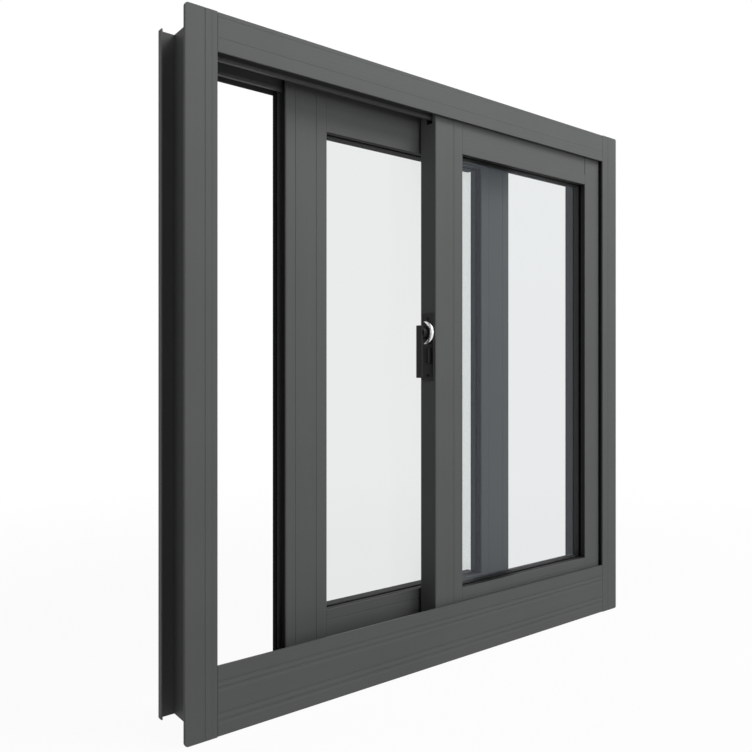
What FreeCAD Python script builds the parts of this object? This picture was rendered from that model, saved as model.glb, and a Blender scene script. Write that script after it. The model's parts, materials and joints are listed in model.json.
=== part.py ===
"""Two-track horizontal sliding window in dark coated aluminium.

Millimetres, +Z up. X runs along the window, Y from the room (low) to the outside (high).
The origin is under the middle of the frame, on the plane that the jambs stand on.
The front sash is shut against the right jamb and the rear sash stands half open.
"""
import FreeCAD, Part
import math
import os
import Sketcher

# Driving sizes: alias, value, meaning
SIZES = [
    ("frame_width", 977.6, "outer width of the frame"),
    ("frame_height", 1000.0, "outer height of the frame"),
    ("frame_depth", 108.0, "room face to outer face of the frame"),
    ("jamb_face", 48.4, "width of a jamb's room flange"),
    ("head_face", 54.6, "height of the head's room flange"),
    ("sill_face", 98.1, "height of the sill's room upstand"),
    ("cross_set_in", 0.8, "head's and sill's outer edges set in from the jambs' ends"),
    ("flange_wall", 3.0, "thickness of the room flanges"),
    ("wall", 2.0, "thickness of the other frame walls"),
    ("outer_channel", 31.0, "depth of the channel round the outside of the frame"),
    ("corner_round", 2.4, "rounding of a jamb's outer upright edge"),
    ("flange_corner", 6.2, "rounding of a jamb flange's outer corners"),
    ("rear_set_in", 7.5, "set-in of the rear flange from the frame's outer edge"),
    ("rear_lip", 11.0, "length of the rear flange's turned lip"),
    ("head_rear_drop", 51.3, "top of the frame to the lower edge of the head's rear wall"),
    ("sill_rear_rise", 50.0, "bottom of the frame to the top edge of the sill's rear wall"),
    ("groove_width", 1.4, "width of the fine grooves in the faces"),
    ("groove_depth", 0.6, "depth of the fine grooves in the faces"),
    ("faint_groove_depth", 0.3, "depth of the faint grooves"),
    ("jamb_groove_outer", 29.8, "jamb's outer edge to its first groove"),
    ("jamb_groove_inner", 40.0, "jamb's outer edge to its second groove"),
    ("head_groove_upper", 7.0, "top of the frame to the head's upper groove"),
    ("head_groove_lower", 35.5, "top of the frame to the head's lower groove"),
    ("sill_groove_lowest", 22.7, "bottom of the frame to the sill's lowest groove"),
    ("sill_groove_second", 32.4, "bottom of the frame to the sill's second groove"),
    ("sill_groove_third", 67.9, "bottom of the frame to the sill's third groove"),
    ("sill_groove_highest", 76.4, "bottom of the frame to the sill's highest groove"),
    ("stile_groove_outer", 18.0, "rear stile's outer edge to its outer groove"),
    ("stile_groove_inner", 19.8, "rear stile's glass edge to its inner groove"),
    ("meeting_groove", 21.0, "front left stile's glass edge to its groove"),
    ("rail_groove", 18.0, "bottom rail's glass edge to its groove"),
    ("sash_set_back", 9.0, "frame's room face to the front sash's room face"),
    ("track_pitch", 46.2, "front sash face to rear sash face"),
    ("track_offset", 16.5, "sash's room face to the middle of its track"),
    ("fin_wall", 2.0, "thickness of the guide fins"),
    ("jamb_fin_reach", 22.0, "reach of the jamb's guide fins from its web"),
    ("fin_end_gap", 1.0, "gap between jamb fins and the head's or sill's fins"),
    ("head_fin_drop", 56.8, "top of the frame to the tip of the head's guide fins"),
    ("fin_tip_width", 5.4, "width of the head fin's thickened tip"),
    ("fin_tip_height", 5.3, "height of the head fin's thickened tip"),
    ("rail_rise", 58.0, "bottom of the frame to the top of the sill's roller rails"),
    ("rail_width", 4.0, "width of the roller rail's head"),
    ("rail_head", 5.0, "height of the roller rail's head"),
    ("joint_gap", 0.3, "hairline between butted pieces"),
    ("flange_gap", 0.6, "hairline between the frame's room flanges"),
    ("corner_gap", 1.6, "open joint at the right end of the front top rail"),
    ("cut_over", 1.0, "how far a cut or a joined piece runs past a face"),
    ("closing_gap", 16.4, "shut sash edge to the jamb's web"),
    ("sash_depth", 38.0, "room face to outer face of a sash"),
    ("sash_bottom", 52.0, "bottom of the frame to the underside of the sashes"),
    ("sash_top_gap", 40.0, "top of the frame to the top of the sashes"),
    ("sash_wall", 2.0, "wall of the sash profiles"),
    ("front_sash_width", 465.1, "width of the front sash"),
    ("rear_sash_width", 510.6, "width of the rear sash"),
    ("rear_sash_from_left", 190.3, "frame's left edge to the half-open rear sash"),
    ("meeting_stile", 64.4, "width of the front sash's left stile"),
    ("front_outer_stile", 46.8, "width of the front sash's right stile"),
    ("rear_stile", 77.0, "width of the rear sash's stiles"),
    ("bottom_rail", 67.4, "height of the bottom rails"),
    ("top_rail", 68.6, "height of the top rails"),
    ("glass_leg", 20.4, "reach of the lip and the leg that hold the glass"),
    ("front_lip", 2.2, "thickness of the room-side lip in front of the glass"),
    ("rear_leg_start", 16.5, "sash face to the outer leg"),
    ("stile_leg_end", 29.0, "sash face to the far side of a stile's outer leg"),
    ("rail_leg_set_in", 1.5, "a rail's outer leg set in from the sash's outer face"),
    ("stile_round", 2.4, "rounding of a stile's outer edge at the room face"),
    ("stile_channel", 17.2, "depth of the channel in a stile's edge"),
    ("stile_channel_width", 14.0, "width of the channel in a stile's edge"),
    ("top_channel", 25.0, "depth of the channel in the top rails"),
    ("bottom_channel", 36.0, "depth of the channel in the bottom rails"),
    ("rail_channel_width", 16.0, "width of the channels in the rails"),
    ("stile_notch", 14.0, "height of the notch in a stile's foot for the roller rail"),
    ("glass_set_back", 10.5, "sash face to the pane"),
    ("glass_thickness", 5.0, "thickness of a pane"),
    ("glass_bite", 13.0, "how far the lip covers the pane's edge"),
    ("gasket_height", 9.0, "height of a glazing gasket"),
    ("gasket_proud", 0.3, "how far a gasket stands past the lip"),
    ("wheel_radius", 12.5, "roller's flange radius"),
    ("tread_radius", 11.0, "roller's running radius"),
    ("wheel_width", 8.0, "roller's width"),
    ("tread_width", 5.0, "width of the roller's running groove"),
    ("rolling_gap", 0.3, "running groove above the rail"),
    ("axle_radius", 2.5, "roller's axle"),
    ("axle_gap", 0.05, "axle in its carriage"),
    ("carriage_length", 64.0, "roller carriage along the rail"),
    ("carriage_width", 15.0, "roller carriage across the rail"),
    ("carriage_slot_width", 9.4, "slot for the roller"),
    ("carriage_slot_length", 28.0, "slot for the roller along the rail"),
    ("carriage_lift", 6.0, "rail top to the carriage's underside"),
    ("carriage_from_stile", 22.0, "rail end to its carriage"),
    ("latch_height", 571.5, "bottom of the frame to the latch's pivot"),
    ("latch_plate_bottom", 488.0, "bottom of the frame to the latch plate"),
    ("latch_plate_length", 117.0, "height of the latch plate"),
    ("latch_plate_width", 32.0, "latch plate across the stile"),
    ("latch_plate_thickness", 3.0, "latch plate"),
    ("latch_block_bottom", 518.0, "bottom of the frame to the latch's housing"),
    ("latch_block_length", 27.0, "height of the latch's housing"),
    ("latch_block_width", 20.0, "latch housing across the stile"),
    ("latch_block_reach", 9.0, "latch housing from the stile"),
    ("cam_radius", 20.0, "crescent's outer radius"),
    ("cam_hollow_radius", 21.9, "crescent's inner radius"),
    ("cam_hollow_offset", 12.9, "pivot to the centre of the crescent's inner radius"),
    ("cam_thickness", 4.5, "crescent's thickness"),
    ("cam_gap", 0.6, "crescent to the latch plate"),
    ("boss_radius", 10.0, "lever's boss"),
    ("hub_radius", 7.0, "lever's hub inside the crescent"),
    ("hub_gap", 0.05, "crescent's hole round the hub"),
    ("pin_radius", 3.0, "latch's pivot pin"),
    ("pin_gap", 0.05, "pivot pin in the latch plate"),
    ("lever_reach", 22.5, "stile to the lever's outer face"),
    ("lever_thickness", 5.0, "lever's plate"),
    ("lever_width", 14.0, "lever across the stile"),
    ("lever_length", 91.0, "lever's whole height"),
    ("lever_above", 12.5, "lever above the pivot"),
    ("fixing_hole", 3.0, "radius of the frame's fixing holes"),
    ("fixing_pitch", 250.0, "distance between the fixing holes"),
    ("fixing_depth", 48.0, "frame's room face to the fixing holes"),
]


def size(name):
    """The sheet's cell for a driving size, as an expression."""
    return f"Sizes.{name}"


# Places worked out from the driving sizes
ROOM_FACE = f"-{size('frame_depth')} / 2"
WEB_INNER = f"({size('outer_channel')} + {size('wall')})"
HALF_FIN = f"{size('fin_wall')} / 2"
HALF_TIP = f"{size('fin_tip_width')} / 2"
HALF_RAIL = f"{size('rail_width')} / 2"
FRONT_TRACK = f"({size('sash_set_back')} + {size('track_offset')})"
REAR_TRACK = f"({FRONT_TRACK} + {size('track_pitch')})"
SASH_TOP = f"({size('frame_height')} - {size('sash_top_gap')})"
WHEEL_HEIGHT = f"({size('rail_rise')} + {size('rolling_gap')} + {size('tread_radius')})"

doc = FreeCAD.newDocument("SlidingWindow")
sheet = doc.addObject("Spreadsheet::Sheet", "Sizes")
for row, (alias, value, meaning) in enumerate(SIZES, start=1):
    sheet.set(f"A{row}", alias)
    sheet.set(f"B{row}", str(value))
    sheet.set(f"C{row}", meaning)
    sheet.setAlias(f"B{row}", alias)
doc.recompute()


def new_body(label):
    body = doc.addObject("PartDesign::Body", label)
    body.Label = label
    return body


def origin_plane(body, role):
    return next(item for item in body.Origin.OriginFeatures if item.Role == role)


def new_sketch(body, name, role, offset="0"):
    """An empty sketch on one of the body's own planes, moved along the plane's normal."""
    sketch = body.newObject("Sketcher::SketchObject", f"{body.Label}_{name}")
    sketch.AttachmentSupport = [(origin_plane(body, role), "")]
    sketch.MapMode = "FlatFace"
    sketch.setExpression("AttachmentOffset.Base.z", offset)
    return sketch


def hold(sketch, kind, geometry, point, start, expression):
    """Fix one coordinate of a sketch point, measured from the sketch's origin."""
    index = sketch.addConstraint(Sketcher.Constraint(kind, -1, 1, geometry, point, start))
    sketch.setExpression(f"Constraints[{index}]", expression)


def add_loop(sketch, corners):
    """A closed run of straight lines through corners given as pairs of expressions."""
    first = sketch.GeometryCount
    count = len(corners)
    turn = FreeCAD.Rotation(FreeCAD.Vector(0, 0, 1), 360.0 / count)
    spots = [FreeCAD.Vector(100, 0, 0)]
    for _ in range(count - 1):
        spots.append(turn.multVec(spots[-1]))
    for step in range(count):
        sketch.addGeometry(Part.LineSegment(spots[step], spots[(step + 1) % count]))
    for step in range(count):
        following = first + (step + 1) % count
        sketch.addConstraint(Sketcher.Constraint("Coincident", first + step, 2, following, 1))
    for step, (across, up) in enumerate(corners):
        hold(sketch, "DistanceX", first + step, 1, spots[step].x, across)
        hold(sketch, "DistanceY", first + step, 1, spots[step].y, up)


def add_circle(sketch, across, up, radius):
    """A circle given by expressions for its centre and radius."""
    index = sketch.addGeometry(Part.Circle(FreeCAD.Vector(5, 5, 0), FreeCAD.Vector(0, 0, 1), 3))
    hold(sketch, "DistanceX", index, 3, 5, across)
    hold(sketch, "DistanceY", index, 3, 5, up)
    rule = sketch.addConstraint(Sketcher.Constraint("Radius", index, 3))
    sketch.setExpression(f"Constraints[{rule}]", radius)


def pad(body, sketch, length):
    """Extrude a sketch along its plane's normal."""
    feature = body.newObject("PartDesign::Pad", f"{sketch.Label}_pad")
    feature.Profile = sketch
    feature.setExpression("Length", length)
    sketch.Visibility = False
    return feature


def pocket(body, sketch, depth, both_ways=False):
    """Cut a sketch out of the body, against the sketch's normal or to both sides."""
    feature = body.newObject("PartDesign::Pocket", f"{sketch.Label}_pocket")
    feature.Profile = sketch
    feature.Midplane = both_ways
    feature.setExpression("Length", depth)
    return feature


def rectangle(low_across, low_up, high_across, high_up):
    return [(low_across, low_up), (high_across, low_up), (high_across, high_up), (low_across, high_up)]


def depth_from_room(depth):
    """Y of a point at a given depth behind the frame's room face."""
    return f"{ROOM_FACE} + {depth}"


def groove(inset, depth=size("groove_depth")):
    """Three corners of a fine V-groove in a face, as (inset, depth) pairs."""
    half = f"{size('groove_width')} / 2"
    return [
        (f"{inset} - {half}", "0"),
        (inset, depth),
        (f"{inset} + {half}", "0"),
    ]


def near(first, second):
    return abs(first - second) < 0.01


def round_upright(body, base, radius, side):
    """Round the long upright edge at the room face; side is -1 at the left and 1 at the right."""
    doc.recompute()
    box = base.Shape.BoundBox
    outer = box.XMin if side < 0 else box.XMax
    names = []
    for number, edge in enumerate(base.Shape.Edges, start=1):
        middle = edge.valueAt((edge.FirstParameter + edge.LastParameter) / 2)
        if near(middle.x, outer) and near(middle.y, box.YMin) and edge.Length > box.ZLength / 2:
            names.append(f"Edge{number}")
    fillet = body.newObject("PartDesign::Fillet", f"{body.Label}_rounding")
    fillet.Base = (base, names)
    fillet.setExpression("Radius", radius)
    base.Visibility = False


def cell(name):
    """The number that a driving size holds now."""
    return float(getattr(sheet, name))


def add_corner_cut(sketch, side, up, edge, end, start):
    """The waste outside a flange's rounded corner, as four lines and an arc.

    edge and end are expressions for the flange's outer edge and its end; side and up are 1 or
    -1 towards the waste; start is the corner's place now, from which the sketch is solved.
    """
    here = ("0", 0)
    over = (size("cut_over"), cell("cut_over"))
    back = (f"-{size('flange_corner')}", -cell("flange_corner"))
    corners = [(here, back), (over, back), (over, over), (back, over), (back, here)]
    spots = [
        FreeCAD.Vector(start[0] + side * across[1], start[1] + up * rise[1], 0)
        for across, rise in corners
    ]
    first = sketch.GeometryCount
    for low, high in zip(spots, spots[1:]):
        sketch.addGeometry(Part.LineSegment(low, high))
    last = first + 3
    centre = FreeCAD.Vector(start[0] + side * back[1], start[1] + up * back[1], 0)
    halfway = centre + FreeCAD.Vector(side, up, 0) * (cell("flange_corner") / math.sqrt(2))
    arc = sketch.addGeometry(Part.Arc(spots[4], halfway, spots[0]))
    for step in range(first, last):
        sketch.addConstraint(Sketcher.Constraint("Coincident", step, 2, step + 1, 1))
    points = [(first, 1), (first + 1, 1), (first + 2, 1), (last, 1), (last, 2)]
    for (line, point), spot, (across, rise) in zip(points, spots, corners):
        hold(sketch, "DistanceX", line, point, spot.x, f"{edge} + {side} * ({across[0]})")
        hold(sketch, "DistanceY", line, point, spot.y, f"{end} + {up} * ({rise[0]})")
    starts_last = near(sketch.getPoint(arc, 1).sub(spots[4]).Length, 0)
    near_end, far_end = (1, 2) if starts_last else (2, 1)
    for (line, point), arc_end in (((last, 2), near_end), ((first, 1), far_end)):
        sketch.addConstraint(Sketcher.Constraint("Coincident", line, point, arc, arc_end))
    rule = sketch.addConstraint(Sketcher.Constraint("Radius", arc, cell("flange_corner")))
    sketch.setExpression(f"Constraints[{rule}]", size("flange_corner"))


# Frame: jambs
def frame_section(edge, face, rear_wall):
    """Corners shared by the frame's profiles, as (inset from the frame's edge, depth) pairs.

    edge is the inset of the room flange's outer edge and face is the flange's corners after
    it; rear_wall is how far the wall at the outside face reaches in from the frame's edge.
    """
    back = size("frame_depth")
    return [(edge, "0")] + face + [
        (rear_wall, back),
        (size("rear_set_in"), back),
        (size("rear_set_in"), f"{back} - {size('rear_lip')}"),
        (f"{size('rear_set_in')} + {size('wall')}", f"{back} - {size('rear_lip')}"),
        (f"{size('rear_set_in')} + {size('wall')}", f"{back} - {size('wall')}"),
        (size("outer_channel"), f"{back} - {size('wall')}"),
        (size("outer_channel"), size("flange_wall")),
        (edge, size("flange_wall")),
    ]


def make_jamb(label, side):
    """A full-height jamb; side is -1 at the left and 1 at the right."""
    body = new_body(label)

    def place(pairs):
        return [
            (f"{side} * ({size('frame_width')} / 2 - ({inset}))", depth_from_room(depth))
            for inset, depth in pairs
        ]

    face = groove(size("jamb_groove_outer"))
    face += groove(size("jamb_groove_inner"), size("faint_groove_depth"))
    face += [
        (size("jamb_face"), "0"),
        (size("jamb_face"), size("flange_wall")),
        (WEB_INNER, size("flange_wall")),
    ]
    profile = new_sketch(body, "profile", "XY_Plane")
    add_loop(profile, place(frame_section("0", face, WEB_INNER)))
    shell = pad(body, profile, size("frame_height"))

    foot = f"{size('rail_rise')} + {size('fin_end_gap')}"
    fins = new_sketch(body, "fins", "XY_Plane", foot)
    reach = f"{WEB_INNER} + {size('jamb_fin_reach')}"
    for track in (FRONT_TRACK, REAR_TRACK):
        low = f"{track} - {HALF_FIN}"
        high = f"{track} + {HALF_FIN}"
        root = f"{WEB_INNER} - {HALF_FIN}"
        add_loop(fins, place([(root, low), (reach, low), (reach, high), (root, high)]))
    height = f"{size('frame_height')} - {size('head_fin_drop')} - {size('fin_end_gap')} - ({foot})"
    shell = pad(body, fins, height)

    round_upright(body, shell, size("corner_round"), side)
    doc.recompute()

    corners = new_sketch(body, "corners", "XZ_Plane", f"-({ROOM_FACE})")
    edge = f"{side} * {size('frame_width')} / 2"
    outer = side * cell("frame_width") / 2
    add_corner_cut(corners, side, -1, edge, "0", (outer, 0))
    add_corner_cut(corners, side, 1, edge, size("frame_height"), (outer, cell("frame_height")))
    pocket(body, corners, size("flange_wall"))
    doc.recompute()

    holes = new_sketch(body, "fixings", "YZ_Plane", edge)
    middle = f"{size('frame_height')} / 2"
    for step in (-1.5, -0.5, 0.5, 1.5):
        across = depth_from_room(size("fixing_depth"))
        add_circle(holes, across, f"{middle} + {step} * {size('fixing_pitch')}", size("fixing_hole"))
    pocket(body, holes, f"4 * {WEB_INNER}", both_ways=True)
    return body


make_jamb("left_jamb", -1)
make_jamb("right_jamb", 1)


# Frame: head and sill, butted between the jambs
def make_cross_member(label, profile_points, to_height, face_height):
    """A frame member between the jambs' webs, with its room flange cut back at each end."""
    body = new_body(label)
    ends = f"{size('frame_width')} / 2 - {WEB_INNER} - {size('joint_gap')}"
    profile = new_sketch(body, "profile", "YZ_Plane", f"-({ends})")
    add_loop(profile, [(depth_from_room(depth), to_height(inset)) for inset, depth in profile_points])
    pad(body, profile, f"2 * ({ends})")
    doc.recompute()

    notches = new_sketch(body, "notches", "XZ_Plane", f"{size('frame_depth')} / 2")
    for side in (-1, 1):
        inner = f"{side} * ({size('frame_width')} / 2 - {size('jamb_face')} - {size('flange_gap')})"
        outer = f"{side} * {size('frame_width')} / 2"
        beyond = to_height(f"{face_height} + {size('cut_over')}")
        add_loop(notches, rectangle(inner, to_height(f"-{size('cut_over')}"), outer, beyond))
    pocket(body, notches, f"{size('flange_wall')} + {size('joint_gap')}")
    return body


def from_top(inset):
    return f"{size('frame_height')} - ({inset})"


def from_bottom(inset):
    return inset


def fin_corners(track, root, tip, tip_height, tip_half, stem_half):
    """Corners of a fin with a thickened tip, from its room side to its outer side."""
    shoulder = f"{tip} - {tip_height}"
    return [
        (root, f"{track} - {stem_half}"),
        (shoulder, f"{track} - {stem_half}"),
        (shoulder, f"{track} - {tip_half}"),
        (tip, f"{track} - {tip_half}"),
        (tip, f"{track} + {tip_half}"),
        (shoulder, f"{track} + {tip_half}"),
        (shoulder, f"{track} + {stem_half}"),
        (root, f"{track} + {stem_half}"),
    ]


def cross_section(face_height, grooves, tip, tip_height, tip_half, rear_wall):
    face = grooves + [
        (face_height, "0"),
        (face_height, size("flange_wall")),
        (WEB_INNER, size("flange_wall")),
    ]
    for track in (FRONT_TRACK, REAR_TRACK):
        face += fin_corners(track, WEB_INNER, tip, tip_height, tip_half, HALF_FIN)
    face += [
        (WEB_INNER, f"{size('frame_depth')} - {size('wall')}"),
        (rear_wall, f"{size('frame_depth')} - {size('wall')}"),
    ]
    return frame_section(size("cross_set_in"), face, rear_wall)


head_grooves = []
for place in ("head_groove_upper", "head_groove_lower"):
    head_grooves += groove(size(place), size("faint_groove_depth"))
head_points = cross_section(
    size("head_face"), head_grooves, size("head_fin_drop"), size("fin_tip_height"), HALF_TIP,
    size("head_rear_drop"))
make_cross_member("head", head_points, from_top, size("head_face"))

sill_grooves = []
for place in ("sill_groove_lowest", "sill_groove_second", "sill_groove_third", "sill_groove_highest"):
    sill_grooves += groove(size(place))
sill_points = cross_section(
    size("sill_face"), sill_grooves, size("rail_rise"), size("rail_head"), HALF_RAIL,
    size("sill_rear_rise"))
make_cross_member("sill", sill_points, from_bottom, size("sill_face"))


# Sashes
def sash_section(reach, leg_depth, channel, channel_width, grooves):
    """Outline and hollows of a sash profile, as (inset from its outer edge, depth) pairs.

    Depths are measured from the sash's room face. leg_depth is the depth at which the outer
    leg ends. channel is the depth of the open channel in the outer edge, or None for a plain
    edge.
    """
    box_end = f"({reach} - {size('glass_leg')})"
    skin = size("sash_wall")
    back = size("sash_depth")
    outline = [("0", "0")]
    for inset in grooves:
        outline += groove(inset)
    outline += [
        (reach, "0"),
        (reach, size("front_lip")),
        (box_end, size("front_lip")),
        (box_end, size("rear_leg_start")),
        (reach, size("rear_leg_start")),
        (reach, leg_depth),
        (box_end, leg_depth),
        (box_end, back),
        ("0", back),
    ]
    inner_end = f"{box_end} - {skin}"
    chamber = [(skin, skin), (inner_end, skin), (inner_end, f"{back} - {skin}"), (skin, f"{back} - {skin}")]
    if channel:
        low = f"{size('track_offset')} - {channel_width} / 2"
        high = f"{size('track_offset')} + {channel_width} / 2"
        outline += [("0", high), (channel, high), (channel, low), ("0", low)]
        floor = f"{channel} + {skin}"
        chamber += [
            (skin, f"{high} + {skin}"),
            (floor, f"{high} + {skin}"),
            (floor, f"{low} - {skin}"),
            (skin, f"{low} - {skin}"),
        ]
    low_end = f"{box_end} + {skin}"
    high_end = f"{reach} - {skin}"
    leg = rectangle(low_end, f"{size('rear_leg_start')} + {skin}", high_end, f"{leg_depth} - {skin}")
    return [outline, chamber, leg]


def make_stile(label, edge, inward, face_depth, section):
    """A stile; edge is the X of its outer edge and inward is 1 or -1 along X.

    Both its ends are notched, so that it passes over the guide fins and the roller rails.
    """
    body = new_body(label)
    profile = new_sketch(body, "profile", "XY_Plane", size("sash_bottom"))
    for loop in section:
        add_loop(profile, [
            (f"{edge} + {inward} * ({inset})", depth_from_room(f"{face_depth} + {depth}"))
            for inset, depth in loop
        ])
    bar = pad(body, profile, f"{SASH_TOP} - {size('sash_bottom')}")
    round_upright(body, bar, size("stile_round"), -inward)
    doc.recompute()
    notches = new_sketch(body, "notches", "YZ_Plane")
    middle = depth_from_room(f"{face_depth} + {size('track_offset')}")
    half = f"{size('rail_channel_width')} / 2"
    bottom = size("sash_bottom")
    for low, high in (
            (f"{SASH_TOP} - {size('top_channel')}", f"{SASH_TOP} + {size('cut_over')}"),
            (f"{bottom} - {size('cut_over')}", f"{bottom} + {size('stile_notch')}")):
        add_loop(notches, rectangle(f"{middle} - {half}", low, f"{middle} + {half}", high))
    pocket(body, notches, f"2 * {size('frame_width')}", both_ways=True)
    return body


def make_rail(label, left, right, edge, inward, face_depth, section):
    """A rail between the stiles; edge is the Z of its outer edge."""
    body = new_body(label)
    start = f"{left} + {size('joint_gap')}"
    profile = new_sketch(body, "profile", "YZ_Plane", start)
    for loop in section:
        add_loop(profile, [
            (depth_from_room(f"{face_depth} + {depth}"), f"{edge} + {inward} * ({inset})")
            for inset, depth in loop
        ])
    pad(body, profile, f"{right} - ({left}) - 2 * {size('joint_gap')}")
    return body


def make_plate(label, outer, inner, near_depth, far_depth):
    """A flat piece parallel to the glass: a rectangle, less an inner one where given."""
    body = new_body(label)
    profile = new_sketch(body, "profile", "XZ_Plane", f"-({depth_from_room(far_depth)})")
    add_loop(profile, rectangle(*outer))
    if inner:
        add_loop(profile, rectangle(*inner))
    pad(body, profile, f"({far_depth}) - ({near_depth})")
    return body


def grown(opening, amount):
    """An opening's corners moved outwards by an amount."""
    low_x, low_z, high_x, high_z = opening
    return (
        f"{low_x} - ({amount})", f"{low_z} - ({amount})",
        f"{high_x} + ({amount})", f"{high_z} + ({amount})",
    )


def make_glazing(name, opening, face_depth):
    """The pane and the two gaskets that grip its edge."""
    room_side = f"{face_depth} + {size('front_lip')}"
    outer_side = f"{face_depth} + {size('rear_leg_start')}"
    glass_near = f"{face_depth} + {size('glass_set_back')}"
    glass_far = f"{glass_near} + {size('glass_thickness')}"
    make_plate(f"{name}_glass", grown(opening, size("glass_bite")), None, glass_near, glass_far)
    band_outer = grown(opening, f"{size('gasket_height')} - {size('gasket_proud')}")
    band_inner = grown(opening, f"-{size('gasket_proud')}")
    make_plate(f"{name}_room_gasket", band_outer, band_inner, room_side, glass_near)
    make_plate(f"{name}_outer_gasket", band_outer, band_inner, glass_far, outer_side)


def make_wheel(label, centre_x, track):
    """A grooved roller with its axle, turned about an axle along Y."""
    body = new_body(label)
    sketch = new_sketch(body, "profile", "YZ_Plane", centre_x)
    middle = depth_from_room(track)
    half = f"{size('wheel_width')} / 2"
    tread = f"{size('tread_width')} / 2"
    axle = f"{size('carriage_width')} / 2"
    outline = [
        (f"{middle} - {axle}", WHEEL_HEIGHT),
        (f"{middle} + {axle}", WHEEL_HEIGHT),
        (f"{middle} + {axle}", f"{WHEEL_HEIGHT} + {size('axle_radius')}"),
        (f"{middle} + {half}", f"{WHEEL_HEIGHT} + {size('axle_radius')}"),
        (f"{middle} + {half}", f"{WHEEL_HEIGHT} + {size('wheel_radius')}"),
        (f"{middle} + {tread}", f"{WHEEL_HEIGHT} + {size('wheel_radius')}"),
        (f"{middle} + {tread}", f"{WHEEL_HEIGHT} + {size('tread_radius')}"),
        (f"{middle} - {tread}", f"{WHEEL_HEIGHT} + {size('tread_radius')}"),
        (f"{middle} - {tread}", f"{WHEEL_HEIGHT} + {size('wheel_radius')}"),
        (f"{middle} - {half}", f"{WHEEL_HEIGHT} + {size('wheel_radius')}"),
        (f"{middle} - {half}", f"{WHEEL_HEIGHT} + {size('axle_radius')}"),
        (f"{middle} - {axle}", f"{WHEEL_HEIGHT} + {size('axle_radius')}"),
    ]
    add_loop(sketch, outline)
    doc.recompute()
    turned = body.newObject("PartDesign::Revolution", f"{label}_turned")
    turned.Profile = sketch
    turned.ReferenceAxis = (sketch, ["Edge1"])
    turned.Angle = 360
    return body


def make_carriage(label, centre_x, track):
    """The block that holds a roller's axle inside the bottom rail's channel."""
    body = new_body(label)
    middle = depth_from_room(track)
    low = f"{size('rail_rise')} + {size('carriage_lift')}"
    high = f"{size('sash_bottom')} + {size('bottom_channel')} - {size('joint_gap')}"
    sketch = new_sketch(body, "block", "XY_Plane", low)
    add_loop(sketch, rectangle(
        f"{centre_x} - {size('carriage_length')} / 2", f"{middle} - {size('carriage_width')} / 2",
        f"{centre_x} + {size('carriage_length')} / 2", f"{middle} + {size('carriage_width')} / 2"))
    add_loop(sketch, rectangle(
        f"{centre_x} - {size('carriage_slot_length')} / 2", f"{middle} - {size('carriage_slot_width')} / 2",
        f"{centre_x} + {size('carriage_slot_length')} / 2", f"{middle} + {size('carriage_slot_width')} / 2"))
    pad(body, sketch, f"{high} - ({low})")
    doc.recompute()
    bore = new_sketch(body, "bore", "XZ_Plane", f"-({middle})")
    add_circle(bore, centre_x, WHEEL_HEIGHT, f"{size('axle_radius')} + {size('axle_gap')}")
    pocket(body, bore, f"2 * {size('carriage_width')}", both_ways=True)
    return body


def make_sash(name, left, right, face_depth, left_stile, right_stile, left_section, right_section):
    """One sash with its stiles, rails, pane, gaskets and rollers."""
    inner_left = f"{left} + {left_stile}"
    inner_right = f"{right} - {right_stile}"
    make_stile(f"{name}_left_stile", left, 1, face_depth, left_section)
    make_stile(f"{name}_right_stile", right, -1, face_depth, right_section)
    channel_width = size("rail_channel_width")
    band = f"{size('bottom_rail')} - {size('rail_groove')}"
    leg = f"({size('sash_depth')} - {size('rail_leg_set_in')})"
    top_section = sash_section(size("top_rail"), leg, size("top_channel"), channel_width, [])
    bottom_section = sash_section(
        size("bottom_rail"), leg, size("bottom_channel"), channel_width, [band])
    rail = make_rail(
        f"{name}_top_rail", inner_left, inner_right, SASH_TOP, -1, face_depth, top_section)
    make_rail(
        f"{name}_bottom_rail", inner_left, inner_right, size("sash_bottom"), 1, face_depth, bottom_section)
    opening = (
        inner_left, f"{size('sash_bottom')} + {size('bottom_rail')}",
        inner_right, f"{SASH_TOP} - {size('top_rail')}",
    )
    make_glazing(name, opening, face_depth)
    track = f"({face_depth} + {size('track_offset')})"
    reach = f"{size('carriage_from_stile')} + {size('carriage_length')} / 2"
    for end, centre in (("left", f"{inner_left} + {reach}"), ("right", f"{inner_right} - ({reach})")):
        make_wheel(f"{name}_{end}_wheel", centre, track)
        make_carriage(f"{name}_{end}_carriage", centre, track)
    return rail


FRONT_RIGHT = f"({size('frame_width')} / 2 - {WEB_INNER} - {size('closing_gap')})"
FRONT_LEFT = f"({FRONT_RIGHT} - {size('front_sash_width')})"
REAR_LEFT = f"({size('rear_sash_from_left')} - {size('frame_width')} / 2)"
REAR_RIGHT = f"({REAR_LEFT} + {size('rear_sash_width')})"
FRONT_FACE = size("sash_set_back")
REAR_FACE = f"({size('sash_set_back')} + {size('track_pitch')})"

stile_leg = size("stile_leg_end")
stile_slot = size("stile_channel_width")
meeting_section = sash_section(
    size("meeting_stile"), stile_leg, None, None,
    [f"{size('meeting_stile')} - {size('meeting_groove')}"])
front_outer_section = sash_section(
    size("front_outer_stile"), stile_leg, size("stile_channel"), stile_slot, [])
rear_section = sash_section(
    size("rear_stile"), stile_leg, size("stile_channel"), stile_slot,
    [size("stile_groove_outer"), f"{size('rear_stile')} - {size('stile_groove_inner')}"])

front_top_rail = make_sash(
    "front", FRONT_LEFT, FRONT_RIGHT, FRONT_FACE, size("meeting_stile"), size("front_outer_stile"),
    meeting_section, front_outer_section)
make_sash(
    "rear", REAR_LEFT, REAR_RIGHT, REAR_FACE, size("rear_stile"), size("rear_stile"),
    rear_section, rear_section)

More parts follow.
